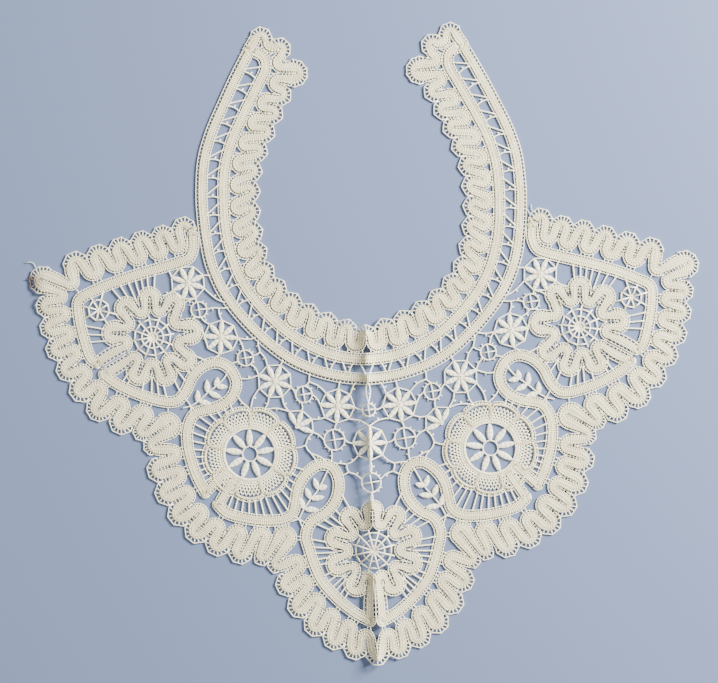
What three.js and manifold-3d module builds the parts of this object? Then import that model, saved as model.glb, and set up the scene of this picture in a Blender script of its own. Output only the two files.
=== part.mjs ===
// Lace bib collar, laid flat: worked tapes, flowers, net wheels, stars and bars, each a thin flat wall.
// Millimetres, +Z up. The wearer's left and right are mirror images; the front hem points to -Y.
// A slack fold runs down the centre front, from the neck edge to the tip of the front lobe.
import * as THREE from 'three';
import { mergeVertices } from 'three/addons/utils/BufferGeometryUtils.js';
import Module from 'manifold-3d';

const wasm = await Module();
wasm.setup();

// ---- driving sizes ----
const WALL = 1.4;              // thickness of the worked lace, as a wall
const SEAM = 0.3;              // space left between two pieces that are sewn together
const TAPE = 6.0;              // width of the outline and neck tapes
const SNAKE = 5.2;             // width of the tape that snakes through edgings and flowers
const SLIT = 0.8;              // slit between two neighbouring legs of a snaking tape
const BAR = 1.1;               // width of a bar of twisted thread
const STEP = 9;                // length of one straight facet along a curved tape
const CENTRE = { x: -0.5, y: 3 };   // middle of the collar's outline, from the neck edge at centre front
const SKEW = 0.011;            // how far the straps lean to the wearer's right, for each mm of length
const FOLD = { rise: 4, reach: 11 };                   // centre-front fold: height, half width
// A star's leaves start a little past its centre, so that they cross there.
const STAR = { leaves: 8, reach: 9.6, root: -1.4, leafWidth: 2.7 };
const FLOWER = { petal: 28.3, heart: 11.8, webMiddle: 6.4, webSides: 9 };
const WHEEL = { leaves: 9, hub: 4.2, eye: 14.2, rim: 26.2, notch: 1.5, firstNotch: -33, leafWidth: 3.2 };
const RUNG = { start: 21.5, longest: 46 };             // where a rung's ray starts and how far it may reach
const LADDER_PITCH = 8.2;      // distance between the feet of the neck ladder's zigzag bars
const SPRIG_STEM = 1.3;        // width of a leaf sprig's stem
const LEAF_WIDEST = 0.6;       // where a leaf is widest, as a share of its length
const BEND_ARCS = { outer: [-78, -40, 0, 40, 78], inner: [-55, 0, 55] };   // corners round a tape's bends
const SHARPEST_MITRE = 0.5;    // cosine of half the sharpest turn that a strip is mitred at
const BEYOND = 400;            // past every edge of the collar
const FLATNESS = 0.02;         // how far a facet may move when flat neighbours are merged

// ---- layout of the wearer's left half (+X) ----
// Every [x, y] is measured from the neck edge at centre front.
const NECK_TAPES = {
  outer: [[0, -16], [20, -13.6], [40, -6], [56, 6], [70, 21], [79.5, 35], [85.4, 50], [88, 65],
    [89.2, 80], [89.2, 92], [87.6, 108], [83, 123], [75.6, 139], [67.6, 155], [60.4, 168]],
  inner: [[0, -5], [20, -2], [40, 8], [56, 22.5], [67.6, 38.5], [73.9, 55], [76.5, 70], [77.1, 85],
    [76.1, 102], [72.1, 117], [65.1, 132], [56.6, 148], [51.4, 158], [52, 165], [57, 168.4]],
};

// Neck edging: evenly spaced loops between a tip rail and the neck tape, then those round the strap end.
const NECK_EDGE = {
  loops: 15,
  tipRail: [[0, 13.5], [20, 21], [38.3, 31.8], [51.7, 48], [56.6, 66], [57.8, 86], [54, 108.5], [37.6, 143]],
  footRail: [[0, -1.6], [19, 1.6], [37.8, 11], [53.2, 24.8], [64.5, 40.2], [70.4, 55.8], [72.9, 70.6],
    [73.6, 85], [72.6, 101.4], [68.8, 115.8], [62, 130.4], [54, 145.6]],
  strapEnd: [
    { foot: [49.8, 150.9], tip: [28.1, 156] },
    { foot: [47.2, 160], tip: [39.1, 174] },
    { foot: [48.1, 167.6], tip: [52.1, 181.5] },
  ],
  end: [58, 173],
};

// Outer edging: one row for each loop, tip and then the foot that follows it, from centre front to the strap.
const OUTER_EDGE = {
  start: { tip: [0, -175.5], foot: [6.4, -156] },
  rows: [
    { part: 'front lobe', tip: [12.8, -172.5], foot: [15, -150.8] },
    { part: 'front lobe', tip: [25.4, -166.5], foot: [23.4, -144.4] },
    { part: 'front lobe', tip: [36.8, -158.3], foot: [30.6, -136.2] },
    { part: 'front lobe', tip: [46.5, -147], foot: [36, -126.6] },
    { part: 'front lobe', tip: [53.6, -133.8], foot: [39.4, -115.8] },
    { part: 'front notch', tip: [58, -121.8], foot: [45.6, -98.6] },
    { part: 'side lobe', tip: [64.8, -118.2], foot: [60, -98.2] },
    { part: 'side lobe', tip: [77.6, -116.6], foot: [73, -97] },
    { part: 'side lobe', tip: [90.8, -111.4], foot: [84.6, -93.4] },
    { part: 'side lobe', tip: [103, -103.4], foot: [93, -85.6] },
    { part: 'side lobe', tip: [112.8, -92.8], foot: [99.6, -76] },
    { part: 'side lobe', tip: [120, -80], foot: [103.8, -65.6] },
    { part: 'side lobe', tip: [124.4, -66], foot: [105.8, -54.4] },
    { part: 'side notch', tip: [126, -52.4], foot: [106.6, -35.8] },
    { part: 'wing', tip: [130.8, -45.6], foot: [122.5, -29.4] },
    { part: 'wing', tip: [142.6, -41.8], foot: [135.6, -23.8] },
    { part: 'wing', tip: [155.2, -34], foot: [147.6, -14.8] },
    { part: 'wing', tip: [165, -22.6], foot: [155.4, -6.4] },
    { part: 'wing', tip: [172.6, -10], foot: [160, 4.4] },
    { part: 'wing', tip: [178.4, 2.6], foot: [163, 14.6] },
    { part: 'wing', tip: [181.6, 15.6], foot: [165, 25] },
    { part: 'wing', tip: [183.4, 28.6], foot: [166.4, 33.4] },
    { part: 'wing corner', tip: [186.2, 46.4], foot: [160.6, 39.2] },
    { part: 'wing top', tip: [164.2, 57.6], foot: [148.6, 43.4] },
    { part: 'wing top', tip: [150.8, 61.4], foot: [136.2, 47.4] },
    { part: 'wing top', tip: [138.2, 65.2], foot: [124, 50.9] },
    { part: 'wing top', tip: [126, 68.6], foot: [112.4, 53.6] },
    { part: 'wing top', tip: [113.8, 71.6], foot: [102.4, 56.6] },
    { part: 'strap side', tip: [100.4, 76.4], foot: [95.9, 70.4] },
  ],
};

// Outline tapes; a run ends where the tape is folded over into a corner.
const OUTLINE_TAPES = {
  wing: [
    [[95, 66.4], [94.9, 60], [97.6, 54], [104, 51.4], [115, 48.4], [130, 44.4], [145, 39.4], [161, 32.4]],
    [[161, 32.4], [160, 20], [158, 10], [155, 0], [151.4, -3.2]],
  ],
  side: [
    [[147.4, -10], [140, -16], [125, -23], [110, -26.5], [103, -22], [98, -12.5], [92, -7], [84, -5],
      [77, -8.6], [73.6, -17], [77, -25], [85, -30], [97, -33], [101.6, -41], [102, -51], [100, -61],
      [97, -70], [93, -77.6]],
  ],
  front: [
    [[86.2, -84.6], [80, -90], [65, -93.6], [51, -93.8], [44.6, -90], [42.5, -82], [40.6, -74.6],
      [36, -68], [29, -63.6], [22, -65], [18.4, -72], [19.6, -82], [25.6, -90], [34.4, -95.4],
      [37.6, -103], [36.2, -110.4], [34, -118.4], [29.8, -128.4], [22, -138.2], [12.4, -146.4],
      [3.5, -151.4]],
  ],
};

// Flowers: petals by their angle; the two ends of the tape run out to a corner of the outline tape.
const WING_FLOWER = {
  centre: [119.5, 10],
  petals: [7, 50, 88, 123, 173, 217, 253, 293],
  stems: [{ angle: -9, end: [151, -3.4] }, { angle: 312, end: [146.8, -9.6] }],
};
const FRONT_FLOWER = {
  centre: [0, -112],
  petals: [-62, -20, 19, 56, 90, 124, 161, 200, 242],
  stems: [{ angle: -76, end: [3.4, -151] }, { angle: 256, end: [-3.4, -151] }],
};
const NET_WHEEL = {
  centre: [67.3, -56.5],
  turn: 90,
  stems: [{ from: [77, -70.5], to: [85.8, -84.2] }, { from: [81, -66], to: [92.6, -77.2] }],
};

// Short bars from a flower or wheel to the outline tape round it, by angle.
const RUNGS = {
  wingFlower: [28, 69, 96, 195, 235, 259, 273, 305],
  frontFlower: [-51, -40, -26, -8, 4, 30, 62],
  netWheel: [-52, -66, -80, -94, -108, 38, 22, 6, -10, -24, -36],
};
const CORNER_WEB = { centre: [149, 26], spokes: [-62, -10, 55, 120, 190, 240], reach: 20, toPetal: 13 };

// Leaf sprigs: a stem with pairs of leaves, in the loops of the outline tapes.
const SPRIGS = {
  side: {
    stem: [[101, -28.6], [98, -26], [91, -19.5], [85, -14.5], [77.6, -9]],
    leaves: [
      { from: [91, -20], to: [79, -25.4] }, { from: [92, -19.6], to: [91.4, -8] },
      { from: [85.5, -15.2], to: [75, -17.6] }, { from: [98, -26], to: [86, -28.6] },
    ],
  },
  front: {
    stem: [[42, -94.4], [40, -91], [33.5, -82], [29.5, -76], [24, -67]],
    leaves: [
      { from: [33.2, -82], to: [21.6, -85.6] }, { from: [33.4, -82], to: [40.4, -72.4] },
      { from: [29.4, -77], to: [19.8, -76] }, { from: [39.2, -90], to: [27.6, -88.8] },
    ],
  },
};

// Ground between the neck band and the lobes: stars, rings and the knots where bars meet.
const STARS = [
  { centre: [0, -52], turn: 0 },
  { centre: [17.4, -30.9], turn: 5 },
  { centre: [52, -16.2], turn: 22 },
  { centre: [40.6, -42], turn: 20, hidden: [0, 5, 6, 7] },
  { centre: [81.2, 9.2], turn: 5 },
  { centre: [98.6, 40], turn: 20 },
];
const RINGS = [
  { centre: [0, -33.4], radius: 3.6 },
  { centre: [19.8, -49.8], radius: 5.8 },
  { centre: [36, -24], radius: 4.6 },
  { centre: [68, -2.8], radius: 4.4 },
  { centre: [93, 24.8], radius: 4.4 },
  { centre: [0, -74], radius: 5.4 },
];
const KNOTS = {
  bandMid: [0, -16], bandNear: [4.5, -15.6], bandA: [16.4, -14], bandB: [31, -10], bandC: [45, -3],
  bandD: [60, 9], bandE: [74, 27], bandF: [83, 42], arch: [32.8, -17], arch3: [59.6, 0.4],
  fan: [81.8, 25.4], starTop: [0, -42.4], starLow: [0, -61.6], starSide: [9.6, -52],
  starLowR: [6.8, -58.8], s4up: [16.6, -21.3], s4left: [7.8, -31.7], s4right: [27, -30.1],
  s4low: [18.2, -40.5], s4upR: [23.6, -23.5], s4lowR: [24.8, -37.1], s4lowL: [11.2, -38.3],
  s4upL: [10, -24.7], s5up: [37.3, -33], s5upR: [44.7, -33.3], s5left: [31.9, -37.9],
  s5low: [31.6, -45.3], s3up: [48.4, -7.3], s3upR: [55.8, -7.4], s3right: [60.9, -12.6],
  s3side: [60.8, -20], s3low: [48.2, -25], s3lowL: [43.1, -19.8], s3lowR: [55.6, -25.1],
  s2left: [71.6, 8.4], s2low: [82, -0.4], s2up: [80.4, 18.8], s2upR: [87.4, 16.6], s2lowR: [88.6, 3],
  s1low: [94.5, 31.3], s1lowL: [89.6, 36.7], s1left: [89.9, 44.1], s1right: [107.3, 35.9],
  s1side: [107.6, 43.3], ringTop: [0, -29.8], ringSide: [3.6, -33.4], ring2Top: [35.8, -19.4],
  ring2Low: [37.4, -28.6], ring2Side: [40.6, -24], ring2In: [31.4, -24], ring3In: [63.8, -1.6],
  ring3Low: [65, -6], ring3Up: [69, 1.6], ring3Side: [72, -4.6], ring4Up: [19.4, -44],
  ring4Side: [25.6, -49.8], ring4In: [14, -49.8], ring4Low: [21.6, -55.2], ring5Side: [5.2, -72.4],
  ring5Top: [0, -68.6], ring5Low: [0, -79.4], ring6In: [88.6, 24.8], ring6Low: [92, 20.6],
  ring6Up: [94.2, 29], tapeA: [73.4, -14], tapeB: [74.4, -21], tapeC: [88, -5.8], netA: [58.6, -32],
  netB: [66, -31.6], netC: [43.6, -53.6], loopTop: [23, -64], loopFork: [30, -64], loopSide: [19, -70],
  fork: [33.2, -57], forkUp: [36, -52.4], bow: [13.4, -63.6], bowLow: [12.4, -68], flowerTop: [0, -86],
  petalIn: [97, 20], petalSide: [103, 27], petalWing: [113.4, 33], tapeWing: [111, 49],
};
const BRIDES = [
  'bandMid ringTop', 'bandNear s4upL', 'bandA s4up', 'bandB arch ring2Top', 'arch s4upR', 'bandC s3up',
  'ringSide s4left', 'starTop s4lowL', 'starSide ring4In', 's4low ring4Up', 's4lowR s5left',
  's4right ring2In', 'ring2Low s5up', 'ring2Side s3lowL', 's5upR s3low', 's5upR netA', 's3lowR netA',
  's3side netB tapeB', 's3right tapeA', 's3upR arch3 bandD', 'arch3 ring3In', 's3right ring3Low',
  'ring3Side tapeC', 'ring3Up s2left', 'bandD s2left', 's2low tapeC', 's2up fan bandE', 'fan ring6In',
  's2upR ring6Low petalIn', 's2lowR petalIn', 'ring6Up s1low', 's1lowL bandE', 's1left bandF',
  's1low petalSide', 's1right petalWing', 's1side tapeWing', 's5low ring4Side', 's5low forkUp netC',
  'ring4Low loopTop', 'loopTop fork forkUp', 'fork loopFork', 'starLow ring5Top', 'starLowR bow loopTop',
  'bow bowLow ring5Side', 'bowLow loopSide', 'ring5Low flowerTop',
];

// ---- plane geometry ----
const point = ([x, y]) => new THREE.Vector2(x, y);
const flip = ([x, y]) => [-x, y];
const degrees = THREE.MathUtils.degToRad;

function polar(centre, radius, angle) {
  return [centre[0] + radius * Math.cos(degrees(angle)), centre[1] + radius * Math.sin(degrees(angle))];
}

// Even points along a smooth line through the given ones.
function along(points, pieces) {
  return new THREE.SplineCurve(points.map(point)).getSpacedPoints(pieces);
}

function smooth(points) {
  const curve = new THREE.SplineCurve(points.map(point));
  return curve.getSpacedPoints(Math.max(1, Math.round(curve.getLength() / STEP)));
}

// ---- solids ----
function solidOf(geometry) {
  geometry.deleteAttribute('normal');
  geometry.deleteAttribute('uv');
  const merged = mergeVertices(geometry, 1e-4);
  const vertProperties = new Float32Array(merged.attributes.position.array);
  const triVerts = new Uint32Array(merged.index.array);
  return new wasm.Manifold(new wasm.Mesh({ numProp: 3, vertProperties, triVerts }));
}

function slab(outline) {
  const shape = new THREE.Shape(outline);
  return solidOf(new THREE.ExtrudeGeometry(shape, { depth: WALL, bevelEnabled: false }));
}

function join(solids) {
  let whole = solids[0];
  for (const solid of solids.slice(1)) {
    whole = whole.add(solid);
  }
  return whole;
}

// A flat strip of even width along a line of points, mitred at each.
function strip(line, width) {
  const left = [];
  const right = [];
  line.forEach((here, i) => {
    const back = here.clone().sub(line[Math.max(i - 1, 0)]).normalize();
    const ahead = line[Math.min(i + 1, line.length - 1)].clone().sub(here).normalize();
    const way = back.clone().add(ahead).normalize();
    const mitre = Math.max(way.dot(i ? back : ahead), SHARPEST_MITRE);
    const side = new THREE.Vector2(-way.y, way.x).multiplyScalar(width / 2 / mitre);
    left.push(here.clone().add(side));
    right.unshift(here.clone().sub(side));
  });
  return slab([...left, ...right]);
}

function bar(from, to, width = BAR) {
  return strip([point(from), point(to)], width);
}

// The corners of a polygon with even sides, the first corner at the given angle.
function polygon(centre, radius, sides, first = 0) {
  return Array.from({ length: sides }, (_, i) => point(polar(centre, radius, first + i * 360 / sides)));
}

function disc(centre, radius, sides) {
  return slab(polygon(centre, radius, sides, 180 / sides));
}

function ring(centre, radius, sides = 8, first = 0) {
  const outside = slab(polygon(centre, radius + BAR / 2, sides, first));
  return outside.subtract(slab(polygon(centre, radius - BAR / 2, sides, first)));
}

// A pointed leaf of closely worked thread, from its root to its tip.
function leaf(from, to, width) {
  const root = point(from);
  const spine = point(to).sub(root);
  const side = new THREE.Vector2(-spine.y, spine.x).normalize();
  const at = (share, half) => root.clone().addScaledVector(spine, share).addScaledVector(side, half);
  const half = width / 2;
  return slab([at(0, 0), at(LEAF_WIDEST, -half), at(1, 0), at(LEAF_WIDEST, half)]);
}

// A tape in runs, with a round patch where it is folded over into a corner; grow widens it all round.
function tape(runs, grow = 0) {
  const strips = runs.map((run) => strip(smooth(run), TAPE + 2 * grow));
  const corners = runs.slice(1).map((run) => disc(run[0], TAPE / 2 + grow, 8));
  return join([...strips, ...corners]);
}

// A tape that snakes between two rows of bends, with a narrow slit between its legs.
// bends holds the outermost point of each bend in turn, and the tape's two ends first and last.
function snake(bends, grow = 0) {
  const spots = bends.map(point);
  const edges = [[], []];
  const arc = [BEND_ARCS.outer, BEND_ARCS.inner];
  spots.forEach((spot, i) => {
    const before = spots[i - 1];
    const after = spots[i + 1];
    const outer = i % 2 ? 0 : 1;
    if (!before || !after) {
      const near = before ? spots[i - 2] : spots[i + 2];
      const leg = (before ?? after).clone().sub(spot).normalize();
      const side = new THREE.Vector2(-leg.y, leg.x);
      side.multiplyScalar(Math.sign(side.dot(near.clone().sub(spot))) * (SNAKE / 2 + grow));
      const end = spot.clone().addScaledVector(leg, -grow);
      edges[outer].push(end.clone().add(side));
      edges[1 - outer].push(end.clone().sub(side));
      return;
    }
    const out = spot.clone().sub(before.clone().lerp(after, 0.5)).normalize();
    const progress = after.clone().sub(before);
    progress.addScaledVector(out, -progress.dot(out)).normalize();
    const gaps = [spots[i - 2], spots[i + 2]].filter(Boolean).map((other) => other.distanceTo(spot));
    const radius = (Math.min(...gaps) - SLIT) / 2;
    const middle = spot.clone().addScaledVector(out, -radius);
    for (const turn of arc[outer]) {
      const ray = out.clone().multiplyScalar(Math.cos(degrees(turn)));
      ray.addScaledVector(progress, Math.sin(degrees(turn)));
      edges[outer].push(middle.clone().addScaledVector(ray, radius + grow));
    }
    edges[1 - outer].push(spot.clone().addScaledVector(out, -SNAKE));
  });
  return slab([...edges[0], ...edges[1].reverse()]);
}

// ---- the centre-front fold ----
function block(x0, x1) {
  const box = new THREE.BoxGeometry(x1 - x0, 2 * BEYOND, 2 * BEYOND);
  return solidOf(box.translate((x0 + x1) / 2, 0, 0));
}

function raised(solid) {
  const mesh = solid.getMesh();
  const vertProperties = mesh.vertProperties.slice();
  for (let i = 0; i < vertProperties.length; i += mesh.numProp) {
    const share = Math.max(0, 1 - Math.abs(vertProperties[i]) / FOLD.reach);
    vertProperties[i + 2] += FOLD.rise * share;
  }
  return new wasm.Manifold(new wasm.Mesh({ numProp: mesh.numProp, vertProperties, triVerts: mesh.triVerts }));
}

// Cuts a flat solid at the fold's creases and lifts the strips between them.
function folded(solid) {
  const creases = [-BEYOND, -FOLD.reach, 0, FOLD.reach, BEYOND];
  const strips = creases.slice(1).map((x1, i) => solid.intersect(block(creases[i], x1)));
  return join(strips.filter((part) => !part.isEmpty()).map(raised));
}

// ---- pieces ----
function neckEdgeBends() {
  const { loops, tipRail, footRail, strapEnd, end } = NECK_EDGE;
  const tips = along(tipRail, loops).map((spot) => spot.toArray());
  const feet = along(footRail, 2 * loops).filter((_, i) => i % 2).map((spot) => spot.toArray());
  const bends = tips.slice(1).flatMap((tip, i) => [feet[i], tip]);
  bends.push(...strapEnd.flatMap((row) => [row.foot, row.tip]), end);
  return [...bends.map(flip).reverse(), tips[0], ...bends];
}

function outerEdgeBends() {
  const { start, rows } = OUTER_EDGE;
  const bends = [start.foot, ...rows.flatMap((row) => [row.tip, row.foot])];
  return [...bends.map(flip).reverse(), start.tip, ...bends];
}

function neckTapes(grow = 0) {
  const outer = [...NECK_TAPES.outer.slice(1).map(flip).reverse(), ...NECK_TAPES.outer];
  const inner = [...NECK_TAPES.inner.slice(1).map(flip).reverse(), ...NECK_TAPES.inner];
  return [tape([outer], grow), tape([inner], grow)];
}

// Zigzag bars from tape to tape; the last ones stop where the two tapes close on each other.
function neckLadder() {
  const bars = [];
  const inner = new THREE.SplineCurve(NECK_TAPES.inner.slice(0, -3).map(point));
  const outer = new THREE.SplineCurve(NECK_TAPES.outer.slice(0, -1).map(point));
  const count = Math.round(inner.getLength() / LADDER_PITCH);
  for (let i = 0; i < count; i += 1) {
    const from = (i % 2 ? outer : inner).getPointAt(i / count).toArray();
    const to = (i % 2 ? inner : outer).getPointAt((i + 1) / count).toArray();
    bars.push(bar(from, to), bar(flip(from), flip(to)));
  }
  return bars;
}

function neckBand() {
  return folded(join([...neckTapes(), ...neckLadder()]));
}

function flowerBends({ centre, petals, stems }) {
  const feet = petals.slice(1).map((petal, i) => polar(centre, FLOWER.heart, (petal + petals[i]) / 2));
  const rim = petals.map((petal) => polar(centre, FLOWER.petal, petal));
  const [first, last] = stems.map((stem) => polar(centre, FLOWER.heart, stem.angle));
  return [stems[0].end, first, ...rim.flatMap((tip, i) => [tip, feet[i] ?? last]), stems[1].end];
}

// The spider web in a flower's heart: a spoke to each inner bend, and one ring across them.
function web({ centre, petals, stems }) {
  const feet = petals.slice(1).map((petal, i) => (petal + petals[i]) / 2);
  const angles = [...feet, ...stems.map((stem) => stem.angle)];
  const spokes = angles.map((angle) => bar(centre, polar(centre, FLOWER.heart + 1, angle)));
  return join([...spokes, ring(centre, FLOWER.webMiddle, FLOWER.webSides, feet[0])]);
}

function flower(plan) {
  return snake(flowerBends(plan)).add(web(plan));
}

function wheelRim({ centre, stems }, grow = 0) {
  const corners = 3 * WHEEL.leaves;
  const outline = Array.from({ length: corners }, (_, i) => {
    const reach = WHEEL.rim - (i % 3 === 0 ? WHEEL.notch : 0);
    return point(polar(centre, reach + grow, WHEEL.firstNotch + i * 360 / corners));
  });
  const legs = stems.map(({ from, to }) => {
    const end = point(to).addScaledVector(point(to).sub(point(from)).normalize(), grow);
    return bar(from, end.toArray(), SNAKE + 2 * grow);
  });
  return join([slab(outline), ...legs]);
}

function netWheel(plan) {
  const { centre, turn } = plan;
  const rim = wheelRim(plan).subtract(disc(centre, WHEEL.eye, 2 * WHEEL.leaves));
  const leaves = Array.from({ length: WHEEL.leaves }, (_, i) => {
    const angle = turn + i * 360 / WHEEL.leaves;
    return leaf(polar(centre, WHEEL.hub, angle), polar(centre, WHEEL.eye + 1, angle), WHEEL.leafWidth);
  });
  return join([rim, ...leaves, ring(centre, WHEEL.hub, WHEEL.leaves, turn)]);
}

// Leaves round a centre, with a bar from tip to tip; hidden ones lie under a neighbour and are left out.
function star({ centre, turn, hidden = [] }) {
  const pitch = 360 / STAR.leaves;
  const all = Array.from({ length: STAR.leaves }, (_, i) => turn + i * pitch);
  const angles = all.filter((_, i) => !hidden.includes(i));
  const tips = angles.map((angle) => polar(centre, STAR.reach, angle));
  const leaves = tips.map((tip, i) => leaf(polar(centre, STAR.root, angles[i]), tip, STAR.leafWidth));
  const edge = hidden.length ? strip(tips.map(point), BAR) : ring(centre, STAR.reach, STAR.leaves, turn);
  return join([...leaves, edge]);
}

// The same figures on the other side.
const across = (angle) => 180 - angle;

function mirroredStar({ centre, turn, hidden }) {
  const kept = hidden?.map((i) => (STAR.leaves - i) % STAR.leaves);
  return { centre: flip(centre), turn: across(turn), hidden: kept };
}

function mirroredFlower({ centre, petals, stems }) {
  return {
    centre: flip(centre),
    petals: petals.map(across),
    stems: stems.map(({ angle, end }) => ({ angle: across(angle), end: flip(end) })),
  };
}

function mirroredWheel({ centre, turn, stems }) {
  return {
    centre: flip(centre),
    turn: across(turn),
    stems: stems.map(({ from, to }) => ({ from: flip(from), to: flip(to) })),
  };
}

// ---- assembly ----
const collar = new THREE.Group();

function place(name, solid, finish) {
  const { vertProperties, triVerts } = solid.asOriginal().simplify(FLATNESS).getMesh();
  const positions = new Float32Array(vertProperties);
  for (let i = 0; i < positions.length; i += 3) {
    positions[i] -= SKEW * positions[i + 1];
  }
  const geometry = new THREE.BufferGeometry();
  geometry.setAttribute('position', new THREE.BufferAttribute(positions, 3));
  geometry.setIndex(new THREE.BufferAttribute(new Uint32Array(triVerts), 1));
  geometry.computeVertexNormals();
  const mesh = new THREE.Mesh(geometry, new THREE.MeshStandardMaterial({ ...finish, metalness: 0 }));
  mesh.name = name;
  mesh.position.set(-CENTRE.x, -CENTRE.y, 0);
  collar.add(mesh);
}

const CREAM = { color: 0xe9e3d2, roughness: 0.85 };    // worked tape
const SILKY = { color: 0xf1ede0, roughness: 0.65 };    // leaves, stars and bars

place('neck_edging', folded(snake(neckEdgeBends())), CREAM);
place('neck_band', neckBand(), CREAM);
place('outer_edging', folded(snake(outerEdgeBends())), CREAM);
place('flower_centre', folded(flower(FRONT_FLOWER)), CREAM);

// What each filling has to clear, widened by the seam.
const clearances = [...neckTapes(SEAM), snake(flowerBends(FRONT_FLOWER), SEAM)];

function placeHalf(side, mirror) {
  const own = (spot) => (mirror ? flip(spot) : spot);
  const runsOf = (name) => OUTLINE_TAPES[name].map((run) => run.map(own));
  const wingFlower = mirror ? mirroredFlower(WING_FLOWER) : WING_FLOWER;
  const wheel = mirror ? mirroredWheel(NET_WHEEL) : NET_WHEEL;
  const tapes = Object.keys(OUTLINE_TAPES);
  place(`flower_${side}`, flower(wingFlower), CREAM);
  place(`net_wheel_${side}`, netWheel(wheel), CREAM);
  const wingFlowerRoom = snake(flowerBends(wingFlower), SEAM);
  const wheelRoom = wheelRim(wheel, SEAM);
  const frontFlowerRoom = snake(flowerBends(FRONT_FLOWER), SEAM);
  const wideTapes = Object.fromEntries(tapes.map((name) => [name, tape(runsOf(name), SEAM)]));
  clearances.push(wingFlowerRoom, wheelRoom, ...Object.values(wideTapes));

  const rungsTo = {
    wing: rungs(wingFlower.centre, RUNGS.wingFlower, runsOf('wing'), mirror),
    side: [
      ...rungs(wingFlower.centre, RUNGS.wingFlower, runsOf('side'), mirror),
      ...rungs(wheel.centre, RUNGS.netWheel, runsOf('side'), mirror),
    ],
    front: [
      ...rungs(wheel.centre, RUNGS.netWheel, runsOf('front'), mirror),
      ...rungs(FRONT_FLOWER.centre, RUNGS.frontFlower, runsOf('front'), mirror),
    ],
  };
  for (const name of tapes) {
    const bars = rungsTo[name];
    if (name === 'wing') {
      bars.push(cornerWeb(runsOf('wing'), mirror));
    }
    let solid = join([tape(runsOf(name)), ...bars]);
    for (const room of [wingFlowerRoom, wheelRoom, frontFlowerRoom]) {
      solid = solid.subtract(room);
    }
    place(`tape_${name}_${side}`, name === 'front' ? folded(solid) : solid, CREAM);
  }
  for (const [name, plan] of Object.entries(SPRIGS)) {
    const leaves = plan.leaves.map(({ from, to }) => leaf(own(from), own(to), STAR.leafWidth));
    const stem = strip(plan.stem.map(own).map(point), SPRIG_STEM);
    place(`sprig_${name}_${side}`, join([stem, ...leaves]).subtract(wideTapes[name]), SILKY);
  }
}

// Where a ray from a centre first meets a tape's middle line; null when it misses.
function meet(centre, angle, runs, limit) {
  const start = point(centre);
  const ray = point(polar([0, 0], 1, angle));
  let best = null;
  for (const line of runs.map(smooth)) {
    for (let i = 1; i < line.length; i += 1) {
      const edge = line[i].clone().sub(line[i - 1]);
      const cross = ray.cross(edge);
      const gap = line[i - 1].clone().sub(start);
      const distance = gap.cross(edge) / cross;
      const share = gap.cross(ray) / cross;
      if (share >= 0 && share <= 1 && distance > 0 && distance < Math.min(limit, best ?? limit)) {
        best = distance;
      }
    }
  }
  return best;
}

function rungs(centre, angles, runs, mirror) {
  const bars = [];
  for (const given of angles) {
    const angle = mirror ? across(given) : given;
    const reach = meet(centre, angle, runs, RUNG.longest);
    if (reach) {
      bars.push(bar(polar(centre, RUNG.start, angle), polar(centre, reach, angle)));
    }
  }
  return bars;
}

function cornerWeb(runs, mirror) {
  const centre = mirror ? flip(CORNER_WEB.centre) : CORNER_WEB.centre;
  const spokes = CORNER_WEB.spokes.map((given) => {
    const angle = mirror ? across(given) : given;
    const reach = meet(centre, angle, runs, CORNER_WEB.reach) ?? CORNER_WEB.toPetal;
    return bar(centre, polar(centre, reach, angle));
  });
  return join(spokes);
}

placeHalf('left', false);
placeHalf('right', true);

function starGround() {
  const strokes = BRIDES.flatMap((bride) => {
    const spots = bride.split(' ').map((name) => KNOTS[name]);
    return spots.slice(1).map((spot, i) => [spots[i], spot]);
  });
  const parts = [
    ...[...STARS, ...STARS.slice(1).map(mirroredStar)].map(star),
    ...strokes.map((stroke) => bar(...stroke)),
    ...strokes.map((stroke) => bar(...stroke.map(flip))),
    ...RINGS.flatMap(({ centre, radius }) => [ring(centre, radius), ring(flip(centre), radius)]),
  ];
  let ground = join(parts);
  for (const room of clearances) {
    ground = ground.subtract(room);
  }
  return folded(ground);
}

place('star_ground', starGround(), SILKY);

export default collar;
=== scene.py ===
"""Looks of the lace bib collar, laid flat: worked tapes, pinhole borders, webs, nets, leaves and bars.

Everything is laid out in the collar's own plan: millimetres, measured from the neck edge at centre
front, +x to the wearer's left, +y to the straps. bake() moves a finished piece into the frame.
"""
import math
from types import SimpleNamespace as Sizes

import bpy
import numpy as np
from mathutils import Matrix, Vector


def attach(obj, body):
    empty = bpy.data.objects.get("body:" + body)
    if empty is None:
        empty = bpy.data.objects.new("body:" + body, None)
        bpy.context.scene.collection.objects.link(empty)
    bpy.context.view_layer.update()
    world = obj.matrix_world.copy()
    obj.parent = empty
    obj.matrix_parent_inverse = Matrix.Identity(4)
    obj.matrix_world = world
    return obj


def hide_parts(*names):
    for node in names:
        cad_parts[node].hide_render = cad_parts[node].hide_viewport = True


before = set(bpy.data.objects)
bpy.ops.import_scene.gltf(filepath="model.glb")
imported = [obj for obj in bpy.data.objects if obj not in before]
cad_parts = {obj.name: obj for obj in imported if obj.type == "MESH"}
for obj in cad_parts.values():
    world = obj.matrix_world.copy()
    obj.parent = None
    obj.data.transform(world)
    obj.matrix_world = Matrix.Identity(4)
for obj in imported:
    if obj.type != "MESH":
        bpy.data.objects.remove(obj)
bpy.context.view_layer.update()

# ---- driving sizes, in millimetres ----
CENTRE = (-0.5, 3.0)  # middle of the collar's outline, in the plan
SKEW = 0.011  # how far the straps lean to the wearer's right, for each mm of length
SQUARE_MM = 1e-6  # in square metres
TAPE = 6.0  # width of the outline and neck tapes, borders and all
STEM_TAPE = 5.4  # width of the two tapes that hold a wheel
ROW = 1.1  # length of one row of a worked tape
MID = 0.6  # height of the threads over the surface that the collar lies on
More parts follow.
